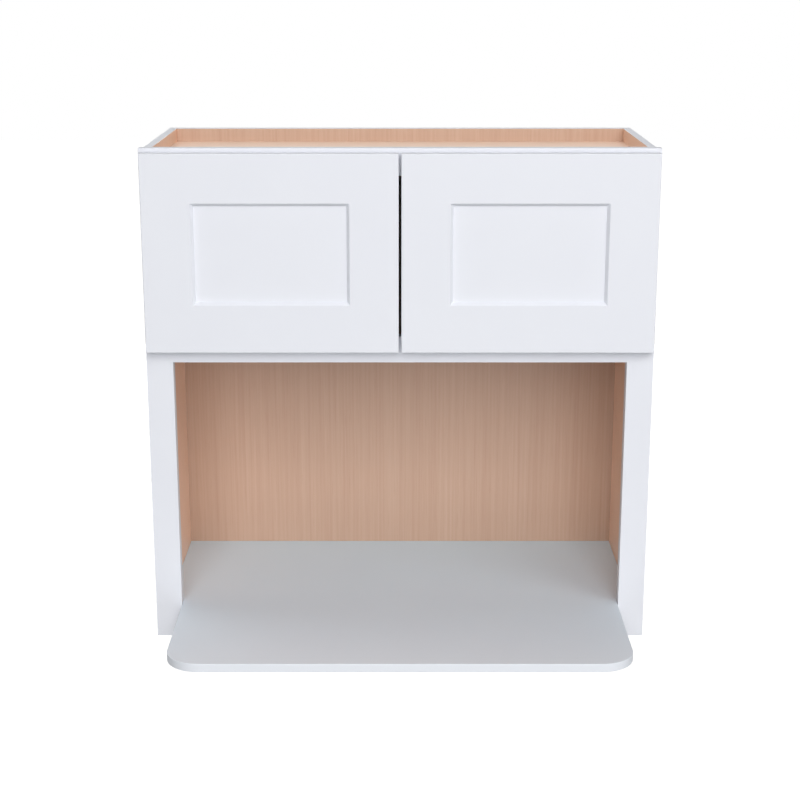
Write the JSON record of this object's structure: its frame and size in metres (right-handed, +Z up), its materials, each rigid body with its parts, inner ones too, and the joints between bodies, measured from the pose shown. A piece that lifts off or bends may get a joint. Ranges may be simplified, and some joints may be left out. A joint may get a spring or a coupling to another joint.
{
  "type": "microwave cabinet",
  "caption": "Face-framed kitchen wall cabinet with recessed-panel doors over an open microwave niche and a deep round-cornered shelf.",
  "frame": {"origin": "middle of the top hanging rail's back face, where the cabinet is screwed to the wall", "axes": "+X to the right as seen from the room, +Y from the room towards the wall, +Z up"},
  "size_m": [0.762, 0.5308, 0.762],
  "materials": {
    "white_paint": "smooth satin white paint on hardwood and fibreboard",
    "maple_veneer": "clear-coated maple-like veneer with fine upright grain",
    "plywood": "bare plywood",
    "nickel_steel": "nickel-plated pressed steel",
    "clear_bumper": "soft clear plastic"
  },
  "bodies": {
    "cabinet": {"frame_stile_left": "white_paint", "frame_stile_right": "white_paint", "frame_top_rail": "white_paint", "frame_middle_rail": "white_paint", "frame_bottom_rail": "white_paint", "side_panel_left": "maple_veneer", "side_panel_right": "maple_veneer", "top_panel": "maple_veneer", "middle_deck": "maple_veneer", "back_panel": "maple_veneer", "microwave_shelf": "white_paint", "top_hanging_rail": "plywood", "bottom_hanging_rail": "plywood", "upper_hinge_arm_left": "nickel_steel", "upper_plate_screw_1_left": "nickel_steel", "upper_plate_screw_2_left": "nickel_steel", "lower_hinge_arm_left": "nickel_steel", "lower_plate_screw_1_left": "nickel_steel", "lower_plate_screw_2_left": "nickel_steel", "upper_hinge_arm_right": "nickel_steel", "upper_plate_screw_1_right": "nickel_steel", "upper_plate_screw_2_right": "nickel_steel", "lower_hinge_arm_right": "nickel_steel", "lower_plate_screw_1_right": "nickel_steel", "lower_plate_screw_2_right": "nickel_steel"},
    "left_door": {"door_outer_stile_left": "white_paint", "door_inner_stile_left": "white_paint", "door_top_rail_left": "white_paint", "door_bottom_rail_left": "white_paint", "door_panel_left": "white_paint", "upper_bumper_left": "clear_bumper", "upper_hinge_cup_left": "nickel_steel", "upper_hinge_pin_left": "nickel_steel", "upper_cup_screw_1_left": "nickel_steel", "upper_cup_screw_2_left": "nickel_steel", "lower_bumper_left": "clear_bumper", "lower_hinge_cup_left": "nickel_steel", "lower_hinge_pin_left": "nickel_steel", "lower_cup_screw_1_left": "nickel_steel", "lower_cup_screw_2_left": "nickel_steel"},
    "right_door": {"door_outer_stile_right": "white_paint", "door_inner_stile_right": "white_paint", "door_top_rail_right": "white_paint", "door_bottom_rail_right": "white_paint", "door_panel_right": "white_paint", "upper_bumper_right": "clear_bumper", "upper_hinge_cup_right": "nickel_steel", "upper_hinge_pin_right": "nickel_steel", "upper_cup_screw_1_right": "nickel_steel", "upper_cup_screw_2_right": "nickel_steel", "lower_bumper_right": "clear_bumper", "lower_hinge_cup_right": "nickel_steel", "lower_hinge_pin_right": "nickel_steel", "lower_cup_screw_1_right": "nickel_steel", "lower_cup_screw_2_right": "nickel_steel"}
  },
  "joints": [
    {"name": "left_door_hinge", "type": "hinge", "parent": "cabinet", "child": "left_door", "pos_m": [-0.3704, -0.3166, -0.11315], "axis": [0, 0, -1], "range_deg": [0, 105]},
    {"name": "right_door_hinge", "type": "hinge", "parent": "cabinet", "child": "right_door", "pos_m": [0.3704, -0.3166, -0.11315], "axis": [0, 0, 1], "range_deg": [0, 105]}
  ]
}
